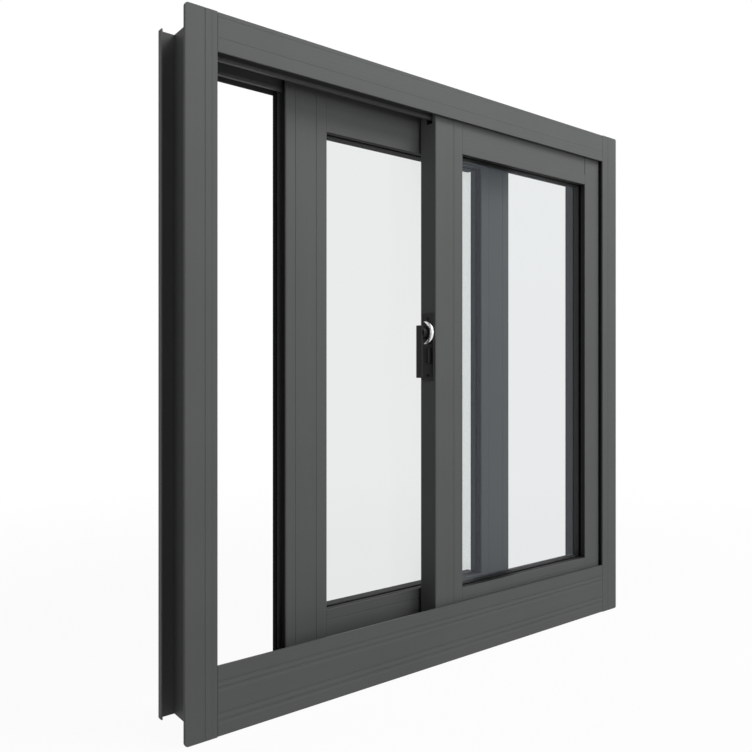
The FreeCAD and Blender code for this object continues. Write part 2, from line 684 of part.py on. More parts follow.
# Open joint at the right end of the front top rail, above the band that holds the glass
doc.recompute()
joint = new_sketch(front_top_rail, "open_joint", "XZ_Plane", f"{size('frame_depth')} / 2")
rail_end = f"({FRONT_RIGHT} - {size('front_outer_stile')})"
band_top = f"{SASH_TOP} - {size('top_rail')} + {size('glass_leg')}"
add_loop(joint, rectangle(
    f"{rail_end} - {size('corner_gap')}", band_top, rail_end, f"{SASH_TOP} + {size('cut_over')}"))
pocket(front_top_rail, joint, size("frame_depth"))

# Latch on the front sash's meeting stile
LATCH_Y = f"({ROOM_FACE} + {FRONT_FACE} + {size('sash_depth')} / 2)"


def along_stile(low, length, width):
    """A rectangle on the stile's edge, in depth and height."""
    half = f"{width} / 2"
    return rectangle(f"{LATCH_Y} - {half}", low, f"{LATCH_Y} + {half}", f"{low} + {length}")


plate = new_body("latch_plate")
plate_face = f"{FRONT_LEFT} - {size('latch_plate_thickness')}"
plate_sketch = new_sketch(plate, "plate", "YZ_Plane", plate_face)
add_loop(plate_sketch, along_stile(
    size("latch_plate_bottom"), size("latch_plate_length"), size("latch_plate_width")))
add_circle(plate_sketch, LATCH_Y, size("latch_height"), f"{size('pin_radius')} + {size('pin_gap')}")
pad(plate, plate_sketch, size("latch_plate_thickness"))
block_face = f"{FRONT_LEFT} - {size('latch_block_reach')}"
block_sketch = new_sketch(plate, "housing", "YZ_Plane", block_face)
add_loop(block_sketch, along_stile(
    size("latch_block_bottom"), size("latch_block_length"), size("latch_block_width")))
pad(plate, block_sketch, f"{size('latch_block_reach')} - {size('latch_plate_thickness')} / 2")

CAM_FAR = f"({plate_face} - {size('cam_gap')})"
CAM_NEAR = f"({CAM_FAR} - {size('cam_thickness')})"
CUT_START = f"({CAM_NEAR} - {size('cut_over')})"
CUT_LENGTH = f"{size('cam_thickness')} + 2 * {size('cut_over')}"
LEVER_FACE = f"({FRONT_LEFT} - {size('lever_reach')})"

crescent = doc.addObject("Part::Cylinder", "crescent_disc")
crescent.setExpression("Radius", size("cam_radius"))
crescent_hollow = doc.addObject("Part::Cylinder", "crescent_hollow")
crescent_hollow.setExpression("Radius", size("cam_hollow_radius"))
cam_eye = doc.addObject("Part::Cylinder", "crescent_eye")
cam_eye.setExpression("Radius", size("boss_radius"))
cam_bore = doc.addObject("Part::Cylinder", "crescent_bore")
cam_bore.setExpression("Radius", f"{size('hub_radius')} + {size('hub_gap')}")
for disc, start, length, offset in (
        (crescent, CAM_NEAR, size("cam_thickness"), "0"),
        (crescent_hollow, CUT_START, CUT_LENGTH, size("cam_hollow_offset")),
        (cam_eye, CAM_NEAR, size("cam_thickness"), "0"),
        (cam_bore, CUT_START, CUT_LENGTH, "0")):
    disc.Placement = FreeCAD.Placement(
        FreeCAD.Vector(), FreeCAD.Rotation(FreeCAD.Vector(0, 1, 0), 90))
    disc.setExpression("Height", length)
    disc.setExpression("Placement.Base.x", start)
    disc.setExpression("Placement.Base.y", f"{LATCH_Y} + {offset}")
    disc.setExpression("Placement.Base.z", size("latch_height"))
crescent_cut = doc.addObject("Part::Cut", "crescent_cut")
crescent_cut.Base = crescent
crescent_cut.Tool = crescent_hollow
cam_blank = doc.addObject("Part::Fuse", "crescent_blank")
cam_blank.Base = crescent_cut
cam_blank.Tool = cam_eye
cam = doc.addObject("Part::Cut", "latch_cam")
cam.Base = cam_blank
cam.Tool = cam_bore
cam.Label = "latch_cam"

lever = new_body("latch_lever")
lever_sketch = new_sketch(lever, "slab", "YZ_Plane", LEVER_FACE)
lever_low = f"{size('latch_height')} + {size('lever_above')} - {size('lever_length')}"
add_loop(lever_sketch, along_stile(lever_low, size("lever_length"), size("lever_width")))
pad(lever, lever_sketch, size("lever_thickness"))
LEVER_BACK = f"({LEVER_FACE} + {size('lever_thickness')})"
for name, radius, start, end in (
        ("boss", size("boss_radius"), LEVER_BACK, CAM_NEAR),
        ("hub", size("hub_radius"), CAM_NEAR, CAM_FAR),
        ("pin", size("pin_radius"), CAM_FAR, f"({FRONT_LEFT} - {size('joint_gap')})")):
    doc.recompute()
    root = f"({start} - {size('cut_over')})"
    round_sketch = new_sketch(lever, name, "YZ_Plane", root)
    add_circle(round_sketch, LATCH_Y, size("latch_height"), radius)
    pad(lever, round_sketch, f"{end} - {root}")

# Rebuild, test every object and write one file for each sub-part
doc.recompute()
for item in doc.Objects:
    if "Invalid" in item.State or "Error" in item.State:
        raise RuntimeError(f"{item.Label} failed: {item.State}")

NODES = [item for item in doc.Objects if item.TypeId == "PartDesign::Body"] + [cam]
for node in NODES:
    shape = node.Shape
    if shape.isNull() or not shape.isValid():
        raise RuntimeError(f"{node.Label} has no valid shape")

os.makedirs("parts", exist_ok=True)
for node in NODES:
    node.Shape.exportStep(f"parts/{node.Label}.step")
    box = node.Shape.BoundBox
    print(
        f"{node.Label:20s} solids {len(node.Shape.Solids)} volume {node.Shape.Volume:10.0f}"
        f"  X {box.XMin:8.2f} {box.XMax:8.2f}  Y {box.YMin:7.2f} {box.YMax:7.2f}"
        f"  Z {box.ZMin:8.2f} {box.ZMax:8.2f}")
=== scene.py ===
"""Looks of the horizontal sliding window: coated aluminium, panes, seals, latch and studio.

Metres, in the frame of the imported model: X along the window, Y from the room to the outside.
"""

import json
import math

import bmesh
import bpy
from mathutils import Matrix, Vector


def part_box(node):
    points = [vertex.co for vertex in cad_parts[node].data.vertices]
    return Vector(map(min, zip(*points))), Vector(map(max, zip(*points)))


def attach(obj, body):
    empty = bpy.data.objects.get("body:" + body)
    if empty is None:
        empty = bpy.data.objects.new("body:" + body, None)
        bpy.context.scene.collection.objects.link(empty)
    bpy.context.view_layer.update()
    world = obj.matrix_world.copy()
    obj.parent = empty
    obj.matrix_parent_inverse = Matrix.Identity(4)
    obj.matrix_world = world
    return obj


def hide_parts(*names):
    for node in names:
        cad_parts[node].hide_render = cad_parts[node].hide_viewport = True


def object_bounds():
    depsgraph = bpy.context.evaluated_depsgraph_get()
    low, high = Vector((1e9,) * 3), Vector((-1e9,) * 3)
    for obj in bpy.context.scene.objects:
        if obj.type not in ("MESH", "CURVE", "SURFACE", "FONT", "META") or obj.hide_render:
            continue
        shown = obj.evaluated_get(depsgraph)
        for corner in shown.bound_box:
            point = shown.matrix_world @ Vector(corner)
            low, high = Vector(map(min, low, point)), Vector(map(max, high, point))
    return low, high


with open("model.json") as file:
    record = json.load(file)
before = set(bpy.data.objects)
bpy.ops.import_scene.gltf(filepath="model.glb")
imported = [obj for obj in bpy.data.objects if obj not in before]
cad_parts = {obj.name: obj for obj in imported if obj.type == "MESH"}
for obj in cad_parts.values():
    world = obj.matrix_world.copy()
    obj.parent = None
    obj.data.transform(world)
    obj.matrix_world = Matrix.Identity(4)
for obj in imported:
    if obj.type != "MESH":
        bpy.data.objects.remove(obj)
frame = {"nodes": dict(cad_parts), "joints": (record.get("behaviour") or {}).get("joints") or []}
cad_low, cad_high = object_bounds()
nodes = frame["nodes"]

MM = 0.001

# Colours, linear
COAT = (0.118, 0.1225, 0.121)
BLACK_COAT = (0.010, 0.010, 0.0105)
RUBBER = (0.006, 0.006, 0.006)
PILE = (0.008, 0.008, 0.009)
CAM_METAL = (0.96, 0.96, 0.96)
SCREW_STEEL = (0.10, 0.10, 0.105)
NYLON = (0.62, 0.61, 0.57)
CARRIAGE_PLASTIC = (0.022, 0.022, 0.023)
GLASS_TINT = (0.820, 0.838, 0.830)
GLASS_MIRROR = 0.065
MIRROR_TINT = (0.82, 0.87, 1.0)

# Painted shade and highlight for shallow troughs along the sill's room face: heights, half-width, reach
# behind the face, strength
SILL_TROUGHS = (74.4 * MM, 65.8 * MM, 30.3 * MM, 20.5 * MM)
TROUGH_HALF = 4.3 * MM
TROUGH_MASK = 3.0 * MM
TROUGH_PAINTED_SHADE = 0.34

SIDES = (("left", -1), ("right", 1))
WHITE = (1.0, 1.0, 1.0, 1.0)


# Materials
def scaled(colour, factor):
    return tuple(channel * factor for channel in colour)


class Value:
    """A number that varies over a surface. Python's operators on it add Math nodes."""

    def __init__(self, finish, socket):
        self.finish = finish
        self.socket = socket

    def combine(self, operation, first, second):
        return self.finish.node("ShaderNodeMath", {"operation": operation}, {0: first, 1: second})

    def __add__(self, other):
        return self.combine("ADD", self, other)

    def __radd__(self, other):
        return self.combine("ADD", other, self)

    def __sub__(self, other):
        return self.combine("SUBTRACT", self, other)

    def __rsub__(self, other):
        return self.combine("SUBTRACT", other, self)

    def __mul__(self, other):
        return self.combine("MULTIPLY", self, other)

    def __rmul__(self, other):
        return self.combine("MULTIPLY", other, self)


class Finish:
    """A procedural material and the nodes that make it."""

    def __init__(self, name):
        self.material = bpy.data.materials.new(name)
        self.material.use_nodes = True
        self.tree = self.material.node_tree
        self.tree.nodes.clear()
        self.place = self.node("ShaderNodeTexCoord", out="Object")

    def node(self, kind, settings=None, inputs=None, out=0):
        """A node with its settings first and then the values or links of its sockets."""
        made = self.tree.nodes.new(kind)
        for name, setting in (settings or {}).items():
            setattr(made, name, setting)
        for name, value in (inputs or {}).items():
            if isinstance(value, Value):
                self.tree.links.new(value.socket, made.inputs[name])
            else:
                made.inputs[name].default_value = value
        return Value(self, made.outputs[out])

    def stretched(self, scale):
        """The piece's own coordinates, scaled by a different amount along each axis."""
        return self.node("ShaderNodeMapping", None, {"Vector": self.place, "Scale": scale})

    def noise(self, scale, detail=3.0, vector=None):
        """Noise from 0 to 1, with scale in bumps per metre."""
        return self.node(
            "ShaderNodeTexNoise", None,
            {"Vector": vector or self.place, "Scale": scale, "Detail": detail}, "Fac")

    def shaded(self, pattern, colour, dark, light):
        """The colour times dark where the pattern is 0, and times light where it is 1."""
        ends = {6: (*scaled(colour, dark), 1.0), 7: (*scaled(colour, light), 1.0)}
        return self.node("ShaderNodeMix", {"data_type": "RGBA"}, {0: pattern, **ends}, 2)

    def bump(self, height, distance, strength):
        return self.node(
            "ShaderNodeBump", None, {"Height": height, "Distance": distance, "Strength": strength})

    def principled(self, inputs):
        return self.node("ShaderNodeBsdfPrincipled", None, inputs)

    def show(self, shader):
        output = self.tree.nodes.new("ShaderNodeOutputMaterial")
        self.tree.links.new(shader.socket, output.inputs["Surface"])
        return self.material


def painted_trough_shading(finish, heights):
    """Painted shade on the upper and painted highlight on the lower flanks of shallow troughs along the
    sill's room face.
    """
    across = finish.node("ShaderNodeSeparateXYZ", None, {0: finish.place}, "Y")
    up = finish.node("ShaderNodeSeparateXYZ", None, {0: finish.place}, "Z")
    flanks = 0.0
    for height in heights:
        turn = finish.node("ShaderNodeMapRange", None, {
            "Value": up - height, "From Min": -TROUGH_HALF, "From Max": TROUGH_HALF,
            "To Min": -math.pi, "To Max": math.pi})
        flanks = flanks + finish.node("ShaderNodeMath", {"operation": "SINE"}, {0: turn})
    face = cad_low.y + TROUGH_MASK
    return flanks * finish.node("ShaderNodeMath", {"operation": "LESS_THAN"}, {0: across, 1: face})


def coated_aluminium(name, grain, troughs=()):
    """Satin powder coat on an extruded profile; grain is the streaks' scale along X, Y and Z."""
    finish = Finish(name)
    streaks = finish.noise(scale=1.0, detail=4.0, vector=finish.stretched(grain))
    cloud = finish.noise(scale=9.0, detail=2.0)
    peel = finish.noise(scale=1400.0, detail=2.0)
    tone_and_painted_shade = 0.55 * streaks + 0.45 * cloud
    # On the sill, painted shade and painted highlight along the troughs go into the base colour
    if troughs:
        tone_and_painted_shade = tone_and_painted_shade - TROUGH_PAINTED_SHADE * painted_trough_shading(finish, troughs)
    return finish.show(finish.principled({
        "Base Color": finish.shaded(tone_and_painted_shade, COAT, dark=0.86, light=1.14),
        "Roughness": 0.46 + 0.12 * streaks,
        "Specular IOR Level": 0.11,
        "Normal": finish.bump(peel + 0.4 * streaks, distance=0.03 * MM, strength=0.35),
    }))


def black_coating(name, colour, roughness):
    """Satin black coat with a fine grain."""
    finish = Finish(name)
    grain = finish.noise(scale=2200.0)
    return finish.show(finish.principled({
        "Base Color": finish.shaded(grain, colour, dark=0.8, light=1.3),
        "Roughness": roughness + 0.1 * grain,
        "Specular IOR Level": 0.2,
        "Normal": finish.bump(grain, distance=0.05 * MM, strength=0.4),
    }))


def rubber():
    """Matt black rubber of the seals round the panes and behind the joints."""
    finish = Finish("gasket_rubber")
    mottle = finish.noise(scale=600.0)
    return finish.show(finish.principled({
        "Base Color": finish.shaded(mottle, RUBBER, dark=0.7, light=1.5),
        "Roughness": 0.62 + 0.15 * mottle,
        "Specular IOR Level": 0.25,
        "Normal": finish.bump(mottle, distance=0.04 * MM, strength=0.5),
    }))


def wool_pile():
    """Short dense fibres that stand out of the seal's carrier."""
    finish = Finish("seal_pile")
    fibres = finish.noise(scale=1.0, detail=2.0, vector=finish.stretched((400.0, 4200.0, 4200.0)))
    return finish.show(finish.principled({
        "Base Color": finish.shaded(fibres, PILE, dark=0.4, light=1.8),
        "Roughness": 0.95,
        "Specular IOR Level": 0.1,
        "Normal": finish.bump(fibres, distance=0.4 * MM, strength=0.8),
    }))


def brushed_metal(name, colour, roughness, metallic=1.0):
    """Bare metal with fine brush lines that lie close together along Y."""
    finish = Finish(name)
    lines = finish.noise(scale=1.0, vector=finish.stretched((900.0, 9000.0, 900.0)))
    return finish.show(finish.principled({
        "Base Color": finish.shaded(lines, colour, dark=0.93, light=1.0),
        "Metallic": metallic,
        "Roughness": roughness + 0.08 * lines,
        "Normal": finish.bump(lines, distance=0.02 * MM, strength=0.3),
    }))


def moulded_plastic(name, colour, roughness):
    """Plain moulded plastic with a faint mottle."""
    finish = Finish(name)
    mottle = finish.noise(scale=350.0)
    return finish.show(finish.principled({
        "Base Color": finish.shaded(mottle, colour, dark=0.9, light=1.06),
        "Roughness": roughness + 0.1 * mottle,
        "Normal": finish.bump(mottle, distance=0.03 * MM, strength=0.3),
    }))


def window_glass():
    """Clear float glass with a faint green tint, thin enough that it shifts nothing behind it."""
    finish = Finish("float_glass")
    tint = tuple(math.sqrt(channel) for channel in GLASS_TINT)
    clear = finish.node("ShaderNodeBsdfTransparent", None, {"Color": (*tint, 1.0)})
    mirror = finish.node("ShaderNodeBsdfGlossy", None, {"Color": (*MIRROR_TINT, 1.0), "Roughness": 0.02})
    share = GLASS_MIRROR * finish.node("ShaderNodeFresnel", None, {"IOR": 1.46})
    return finish.show(finish.node("ShaderNodeMixShader", None, {0: share, 1: clear, 2: mirror}))


upright_coat = coated_aluminium("coat_upright", (520.0, 520.0, 2.2))
level_coat = coated_aluminium("coat_level", (2.2, 520.0, 520.0))
# The sill's coat carries painted shade and highlight along its troughs
sill_coat_painted_shade = coated_aluminium("coat_sill_painted_shade", (2.2, 520.0, 520.0), SILL_TROUGHS)
latch_black = black_coating("latch_black", BLACK_COAT, roughness=0.38)
cam_metal = brushed_metal("latch_cam_metal", CAM_METAL, roughness=0.22, metallic=0.9)
screw_metal = brushed_metal("screw_steel", SCREW_STEEL, roughness=0.35)
gasket_rubber = rubber()
seal_pile = wool_pile()
roller_nylon = moulded_plastic("roller_nylon", NYLON, roughness=0.35)
carriage_plastic = moulded_plastic("carriage_plastic", CARRIAGE_PLASTIC, roughness=0.45)
pane_glass = window_glass()

# The first of these words in a node's name gives its finish
FINISH_BY_WORD = (
    ("glass", pane_glass),
    ("gasket", gasket_rubber),
    ("wheel", roller_nylon),
    ("carriage", carriage_plastic),
    ("cam", cam_metal),
    ("latch", latch_black),
    ("jamb", upright_coat),
    ("stile", upright_coat),
    ("rail", level_coat),
    ("head", level_coat),
    ("sill", sill_coat_painted_shade),
)
for name, node in nodes.items():
    finish = next(material for word, material in FINISH_BY_WORD if word in name)
    for holder in node.material_slots:
        holder.material = finish


# Pieces
def make_piece(name, mesh, material, body):
    """A finished mesh as a piece that rides on a body."""
    data = bpy.data.meshes.new(name)
    bmesh.ops.recalc_face_normals(mesh, faces=mesh.faces)
    mesh.to_mesh(data)
    mesh.free()
    piece = bpy.data.objects.new(name, data)
    bpy.context.scene.collection.objects.link(piece)
    data.materials.append(material)
    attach(piece, body)
    return piece


def bevel_edges(mesh, edges, width, segments):
    bmesh.ops.bevel(
        mesh, geom=edges, offset=width, offset_type="OFFSET", affect="EDGES", segments=segments,
        profile=0.5, material=-1, clamp_overlap=True)


def add_block(mesh, low, high, rounding, segments):
    """A block between two corners with all its edges rounded."""
    middle = (Vector(low) + Vector(high)) / 2
    extent = Vector(high) - Vector(low)
    made = bmesh.ops.create_cube(
        mesh, size=1.0, matrix=Matrix.Translation(middle) @ Matrix.Diagonal((*extent, 1.0)))
    edges = {edge for vertex in made["verts"] for edge in vertex.link_edges}
    bevel_edges(mesh, list(edges), rounding, segments)


def add_strip(mesh, outline, start, end, to_place):
    """A bar of constant section: the outline's points, pushed from start to end."""
    corners = [mesh.verts.new(to_place(across, up, start)) for across, up in outline]
    face = mesh.faces.new(corners)
    pushed = bmesh.ops.extrude_face_region(mesh, geom=[face])
    moved = [item for item in pushed["geom"] if isinstance(item, bmesh.types.BMVert)]
    shift = to_place(0.0, 0.0, end) - to_place(0.0, 0.0, start)
    bmesh.ops.translate(mesh, verts=moved, vec=shift)


def add_part(mesh, part):
    """Puts a part that was shaped by itself into a mesh."""
    data = bpy.data.meshes.new("part")
    part.to_mesh(data)
    part.free()
    mesh.from_mesh(data)
    bpy.data.meshes.remove(data)


# Pile seals on the jamb sides of the outer stiles, on both lips of the channel
TRACK_OFFSET = 16.5 * MM
NOTCH_HALF = 8.0 * MM
STILE_ROUND = 2.4 * MM
SEAL_MARGIN = 0.3 * MM
SEAL_END_GAP = 1.0 * MM
CARRIER_HEIGHT = 0.7 * MM
PILE_HEIGHT = 1.5 * MM
PILE_FOOT_SHARE = 0.8
PILE_TIP_SHARE = 0.62


def add_pile_seal(mesh, edge, outward, low_y, high_y, low_z, high_z):
    """A thin carrier with a tapered band of pile; outward is 1 or -1 along X."""
    middle = (low_y + high_y) / 2
    half = (high_y - low_y) / 2 - SEAL_MARGIN
    foot = PILE_FOOT_SHARE * half
    tip = PILE_TIP_SHARE * half
    outline = [
        (-half, 0.0), (half, 0.0), (half, CARRIER_HEIGHT), (foot, CARRIER_HEIGHT),
        (tip, PILE_HEIGHT), (-tip, PILE_HEIGHT), (-foot, CARRIER_HEIGHT), (-half, CARRIER_HEIGHT),
    ]

    def to_place(across, up, along):
        return Vector((edge + outward * up, middle + across, along))

    add_strip(mesh, outline, low_z, high_z, to_place)


for sash, stile, outward in (
        ("rear", "left", -1), ("rear", "right", 1), ("front", "right", 1)):
    low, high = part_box(f"{sash}_{stile}_stile")
    edge = high.x if outward > 0 else low.x
    track = low.y + TRACK_OFFSET
    seal = bmesh.new()
    for low_y, high_y in ((low.y + STILE_ROUND, track - NOTCH_HALF), (track + NOTCH_HALF, high.y)):
        add_pile_seal(seal, edge, outward, low_y, high_y, low.z + SEAL_END_GAP, high.z - SEAL_END_GAP)
    make_piece(f"{sash}_{stile}_pile_seals", seal, seal_pile, f"{sash}_sash")


# Black rubber strips behind the open joints of the frame and of the front top rail: painted shade, a dark
# fill for the shade inside the gaps
FLANGE_WALL = 3.0 * MM
JAMB_FACE = 48.4 * MM
WEB_INSET = 31.0 * MM
WEB_WALL = 2.0 * MM
HEAD_FACE = 54.6 * MM
BACKING_END_GAP = 1.0 * MM
BACKING_HALF = 3.0 * MM
BACKING_CLEARANCE = 0.4 * MM
BACKING_WALL = 1.0 * MM
BACKING_ROUNDING = 0.2 * MM
sill_low, sill_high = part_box("sill")
_, head_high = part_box("head")
joint_shade_strips = bmesh.new()
for side, outward in SIDES:
    low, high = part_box(f"{side}_jamb")
    joint_x = (low.x if outward < 0 else high.x) - outward * JAMB_FACE
    near_y = low.y + FLANGE_WALL + BACKING_CLEARANCE
    sill_web = low.z + WEB_INSET
    head_web = high.z - WEB_INSET
    for low_z, high_z in (
            (sill_low.z + BACKING_END_GAP, sill_web - BACKING_CLEARANCE),
            (sill_web + WEB_WALL + BACKING_CLEARANCE, sill_high.z - BACKING_END_GAP),
            (high.z - HEAD_FACE + BACKING_END_GAP, head_web - WEB_WALL - BACKING_CLEARANCE),
            (head_web + BACKING_CLEARANCE, head_high.z - BACKING_END_GAP)):
        add_block(
            joint_shade_strips, (joint_x - BACKING_HALF, near_y, low_z),
            (joint_x + BACKING_HALF, near_y + BACKING_WALL, high_z), BACKING_ROUNDING, segments=1)
make_piece("frame_joint_shade_strips", joint_shade_strips, gasket_rubber, "frame")

GLASS_LEG = 20.4 * MM
RAIL_JOINT_WIDTH = 1.2 * MM
rail_low, rail_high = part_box("front_top_rail")
stile_low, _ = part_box("front_right_stile")
# Black fill behind the front top rail's joint: painted shade in the gap
rail_joint_shade_fill = bmesh.new()
add_block(
    rail_joint_shade_fill,
    (stile_low.x - RAIL_JOINT_WIDTH, rail_low.y + BACKING_WALL, rail_low.z + GLASS_LEG + BACKING_CLEARANCE),
    (stile_low.x, rail_low.y + 2 * BACKING_WALL, rail_high.z - BACKING_CLEARANCE),
    BACKING_ROUNDING, segments=1)
make_piece("front_rail_joint_shade_fill", rail_joint_shade_fill, gasket_rubber, "front_sash")

# Black rubber skirts over the edges of the rails' outer legs, from the pane's seal outwards: painted shade,
# dark sheets where these legs lie in shade behind the panes
LEG_SET_IN = 1.5 * MM
SKIRT_THICKNESS = 0.8 * MM
SKIRT_MARGIN = 0.4 * MM
SKIRT_ROUNDING = 0.25 * MM
for sash in ("front", "rear"):
    _, seal_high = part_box(f"{sash}_outer_gasket")
    skirts = bmesh.new()
    for rail, upward in (("top", -1), ("bottom", 1)):
        low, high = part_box(f"{sash}_{rail}_rail")
        edge = high.z if upward > 0 else low.z
        low_z, high_z = sorted((edge, edge + upward * SKIRT_THICKNESS))
        add_block(
            skirts, (low.x + SKIRT_MARGIN, seal_high.y, low_z),
            (high.x - SKIRT_MARGIN, high.y - LEG_SET_IN - SKIRT_MARGIN, high_z),
            SKIRT_ROUNDING, segments=1)
    make_piece(f"{sash}_glazing_shade_skirts", skirts, gasket_rubber, f"{sash}_sash")


# Screws
SCREW_RADIUS = 3.6 * MM
SCREW_HEIGHT = 2.2 * MM
SCREW_ROUNDING = 0.45 * SCREW_HEIGHT
SCREW_CROWN = 0.99 * SCREW_HEIGHT
SCREW_SIDES = 24
SLOT_HALF = 0.5 * MM
SLOT_REACH = 1.9 * MM
SLOT_DEPTH = 1.1 * MM
SLOT_NORMALS = ((1, 0, 0), (-1, 0, 0), (0, 1, 0), (0, -1, 0))


def add_screw(mesh, centre, outward, scale=1.0):
    """A pan-head screw with a cross recess; outward is its axis."""
    turn = Vector((0, 0, 1)).rotation_difference(Vector(outward)).to_matrix().to_4x4()
    place = Matrix.Translation(centre) @ turn @ Matrix.Scale(scale, 4)
    part = bmesh.new()
    disc = bmesh.ops.create_circle(part, cap_ends=True, segments=SCREW_SIDES, radius=SCREW_RADIUS)
    base = disc["verts"][0].link_faces[0]
    raised = bmesh.ops.extrude_face_region(part, geom=[base])
    top = [item for item in raised["geom"] if isinstance(item, bmesh.types.BMVert)]
    bmesh.ops.translate(part, verts=top, vec=(0, 0, SCREW_HEIGHT))
    rim = [edge for edge in part.edges if all(vertex in top for vertex in edge.verts)]
    bevel_edges(part, rim, SCREW_ROUNDING, segments=4)
    for offset in (SLOT_HALF, SLOT_REACH):
        for normal in SLOT_NORMALS:
            faces = [face for face in part.faces if face.calc_center_median().z > SCREW_CROWN]
            cut = {item for face in faces for item in (face, *face.edges, *face.verts)}
            bmesh.ops.bisect_plane(part, geom=list(cut), plane_co=Vector(normal) * offset, plane_no=normal)
    recess = []
    for face in part.faces:
        spot = face.calc_center_median()
        reach = max(abs(spot.x), abs(spot.y))
        nearest = min(abs(spot.x), abs(spot.y))
        if spot.z > SCREW_CROWN and reach < SLOT_REACH and nearest < SLOT_HALF:
            recess.append(face)
    sunk = bmesh.ops.extrude_face_region(part, geom=recess)
    floor = [item for item in sunk["geom"] if isinstance(item, bmesh.types.BMVert)]
    bmesh.ops.translate(part, verts=floor, vec=(0, 0, -SLOT_DEPTH))
    bmesh.ops.delete(part, geom=recess, context="FACES")
    bmesh.ops.transform(part, matrix=place, verts=part.verts)
    add_part(mesh, part)


# Screws through the jambs' webs into the head and the sill
JAMB_SCREW_DEPTHS = (20.0 * MM, 44.0 * MM, 68.0 * MM)
SILL_SCREW_RISE = 41.0 * MM
HEAD_SCREW_DROP = 40.0 * MM
for side, outward in SIDES:
    low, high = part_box(f"{side}_jamb")
    outer = high.x if outward > 0 else low.x
    screws = bmesh.new()
    for depth in JAMB_SCREW_DEPTHS:
        for height in (low.z + SILL_SCREW_RISE, high.z - HEAD_SCREW_DROP):
            spot = Vector((outer - outward * WEB_INSET, low.y + depth, height))
            add_screw(screws, spot, (outward, 0, 0))
    make_piece(f"{side}_jamb_screws", screws, screw_metal, "frame")


# Latch: the plate with its housing, the lever and the crescent, with their edges rounded
plate_low, plate_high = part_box("latch_plate")
lever_low, lever_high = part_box("latch_lever")
cam_low, cam_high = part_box("latch_cam")
latch_turn = next(joint for joint in frame["joints"] if joint["name"] == "latch_turn")
PIVOT_HEIGHT = latch_turn["pos_m"][2]
LATCH_Y = (plate_low.y + plate_high.y) / 2
STILE_FACE = plate_high.x
PLATE_THICKNESS = 3.0 * MM
PLATE_ROUNDING = 1.2 * MM
HOUSING_RISE = 30.0 * MM
HOUSING_LENGTH = 27.0 * MM
HOUSING_HALF = 10.0 * MM
HOUSING_FOOT_GAP = 1.0 * MM
HOUSING_ROUNDING = 1.4 * MM
PLATE_SCREW_INSET = 9.0 * MM
PLATE_SCREW_SCALE = 0.8
housing_bottom = plate_low.z + HOUSING_RISE
plate = bmesh.new()
add_block(
    plate, (STILE_FACE - PLATE_THICKNESS, plate_low.y, plate_low.z),
    (STILE_FACE, plate_high.y, plate_high.z), PLATE_ROUNDING, segments=4)
add_block(
    plate, (plate_low.x, LATCH_Y - HOUSING_HALF, housing_bottom),
    (STILE_FACE - HOUSING_FOOT_GAP, LATCH_Y + HOUSING_HALF, housing_bottom + HOUSING_LENGTH),
    HOUSING_ROUNDING, segments=4)
for height in (plate_low.z + PLATE_SCREW_INSET, plate_high.z - PLATE_SCREW_INSET):
    spot = Vector((STILE_FACE - PLATE_THICKNESS, LATCH_Y, height))
    add_screw(plate, spot, (-1, 0, 0), PLATE_SCREW_SCALE)
plate_piece = make_piece("latch_body", plate, latch_black, "front_sash")
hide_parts("latch_plate")

LEVER_HALF = 7.0 * MM
LEVER_THICKNESS = 5.0 * MM
LEVER_ROUNDING = 1.3 * MM
BOSS_RADIUS = 10.0 * MM
BOSS_SINK = 1.0 * MM
BOSS_ROUNDING = 0.6 * MM
HUB_RADIUS = 7.0 * MM
HUB_SINK = 0.5 * MM
HUB_ROUNDING = 0.3 * MM
EYE_RADIUS = 14.0 * MM
EYE_PROUD = 1.6 * MM
DISC_SIDES = 64


def add_disc(mesh, radius, start_x, end_x, rounding):
    """A disc on the pivot, along X, with both rims rounded."""
    part = bmesh.new()
    middle = Vector(((start_x + end_x) / 2, LATCH_Y, PIVOT_HEIGHT))
    place = Matrix.Translation(middle) @ Matrix.Rotation(math.pi / 2, 4, "Y")
    bmesh.ops.create_cone(
        part, cap_ends=True, segments=DISC_SIDES, radius1=radius, radius2=radius,
        depth=abs(end_x - start_x), matrix=place)
    rims = [edge for edge in part.edges if any(len(face.verts) > 4 for face in edge.link_faces)]
    bevel_edges(part, rims, rounding, segments=3)
    add_part(mesh, part)


lever = bmesh.new()
add_block(
    lever, (lever_low.x, LATCH_Y - LEVER_HALF, lever_low.z),
    (lever_low.x + LEVER_THICKNESS, LATCH_Y + LEVER_HALF, lever_high.z), LEVER_ROUNDING, segments=4)
add_disc(lever, BOSS_RADIUS, lever_low.x + LEVER_THICKNESS - BOSS_SINK, cam_low.x, BOSS_ROUNDING)
add_disc(lever, HUB_RADIUS, cam_low.x - HUB_SINK, cam_high.x, HUB_ROUNDING)
lever_piece = make_piece("latch_handle", lever, latch_black, "latch")
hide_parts("latch_lever")

CRESCENT_RADIUS = 20.0 * MM
CRESCENT_PROUD = 1.2 * MM
HOLLOW_RADIUS = 21.9 * MM
HOLLOW_OFFSET = 12.9 * MM
# The crescent ends short of the points where its two circles meet, at this share of the turn
CRESCENT_REACH = 0.91
CRESCENT_STATIONS = 40
CRESCENT_SIDES = 28


def on_circle(radius, centre, angle):
    """A point of a circle beside the pivot, in the plane that the latch turns in."""
    return Vector((0.0, centre - radius * math.cos(angle), radius * math.sin(angle)))


def add_crescent_ring(mesh, outer, inner, low_x, high_x, cap):
    """The edges of an oval section of the crescent, between two points of its outline."""
    across = (inner - outer) / 2
    thickness = Vector(((high_x - low_x) / 2, 0.0, 0.0))
    along = across.cross(thickness).normalized()
    place = Matrix((across, thickness, along)).transposed().to_4x4()
    place.translation = (inner + outer) / 2 + Vector(((low_x + high_x) / 2, LATCH_Y, PIVOT_HEIGHT))
    made = bmesh.ops.create_circle(mesh, cap_ends=cap, segments=CRESCENT_SIDES, radius=1.0, matrix=place)
    return {edge for vertex in made["verts"] for edge in vertex.link_edges}


